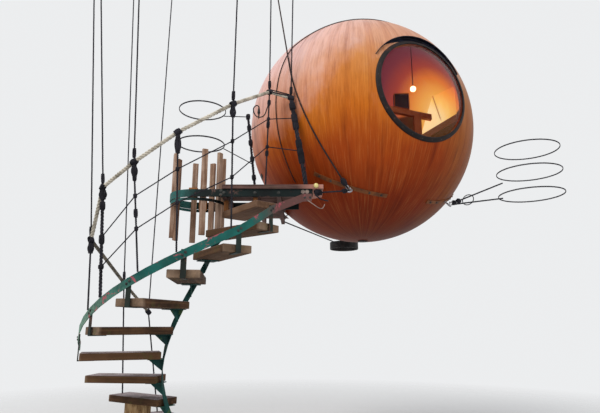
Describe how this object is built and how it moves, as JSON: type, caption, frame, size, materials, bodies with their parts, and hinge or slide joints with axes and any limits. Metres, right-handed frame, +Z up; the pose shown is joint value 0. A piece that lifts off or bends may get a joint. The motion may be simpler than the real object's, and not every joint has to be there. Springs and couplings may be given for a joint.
{
  "type": "tree house",
  "caption": "Hollow wooden sphere cabin slung by ropes beside a trunk clamp, with a planked landing, a spiral stair hung from a steel band and a rope railing.",
  "frame": {"origin": "middle of the flat inner face of the near bearing block, where it presses on the trunk", "axes": "+Y from the stair side into the trunk, +X along the landing to the sphere, +Z up"},
  "size_m": [5.4317, 3.9132, 5.9271],
  "materials": {
    "aged_strap": "aged, worn edges",
    "bare_timber": "sawn, weathered",
    "black_iron": "forged, matt black",
    "black_lashing": "wrapped cord",
    "bright_panel": "lacquered, lit from inside",
    "cream_ball": "satin",
    "dark_cupboard": "dark stained, satin",
    "dark_rope": "laid fibre rope, near black",
    "floor_timber": "planed, satin",
    "galvanised_steel": "weathered zinc coat, rust at the edges",
    "green_band_steel": "worn paint with rust patches",
    "lamp_glow": "opal",
    "pale_rope": "laid fibre rope, weathered",
    "varnished_shell": "strip planking under glossy clear varnish",
    "weathered_boards": "weathered grey-brown, worn pale at the edges",
    "window_bronze": "dark patina",
    "window_clear": "clear, glossy"
  },
  "bodies": {
    "root": {"anchor_eyes": "galvanised_steel", "anchor_straps": "aged_strap", "back_tree_collar": "galvanised_steel", "batten_hoop": "galvanised_steel", "bearing_block_far": "bare_timber", "bearing_block_near": "bare_timber", "cabin_cupboard": "dark_cupboard", "cabin_floor": "floor_timber", "cabin_frame": "floor_timber", "cabin_lamp": "lamp_glow", "cabin_panel": "bright_panel", "clamp_bolts": "galvanised_steel", "collar_frame": "galvanised_steel", "corner_ball": "cream_ball", "corner_fittings": "galvanised_steel", "crown_rope": "dark_rope", "deck_boards": "weathered_boards", "deck_joists": "bare_timber", "door_leaf": "varnished_shell", "front_rope": "dark_rope", "handrail": "pale_rope", "hanger_ropes": "dark_rope", "inner_band": "green_band_steel", "landing_step": "weathered_boards", "log_footing": "bare_timber", "mid_ropes": "dark_rope", "outer_band": "green_band_steel", "rail_knots": "black_lashing", "rail_uprights": "dark_rope", "right_tree_slings": "galvanised_steel", "scroll_hook": "black_iron", "shell_back_left": "varnished_shell", "shell_back_right": "varnished_shell", "shell_back_window": "varnished_shell", "shell_caps": "varnished_shell", "shell_door_surround": "varnished_shell", "shell_front_left": "varnished_shell", "shell_front_window": "varnished_shell", "shell_right": "varnished_shell", "stay_ropes": "dark_rope", "step_blocks": "bare_timber", "tread_brackets": "green_band_steel", "treads": "weathered_boards", "trunk_battens": "bare_timber", "trunk_sling_lower": "galvanised_steel", "trunk_sling_upper": "galvanised_steel", "window_pane_back": "window_clear", "window_pane_front": "window_clear", "window_ring_back": "window_bronze", "window_ring_front": "window_bronze", "window_visor_back": "window_bronze", "window_visor_front": "window_bronze"}
  },
  "joints": []
}
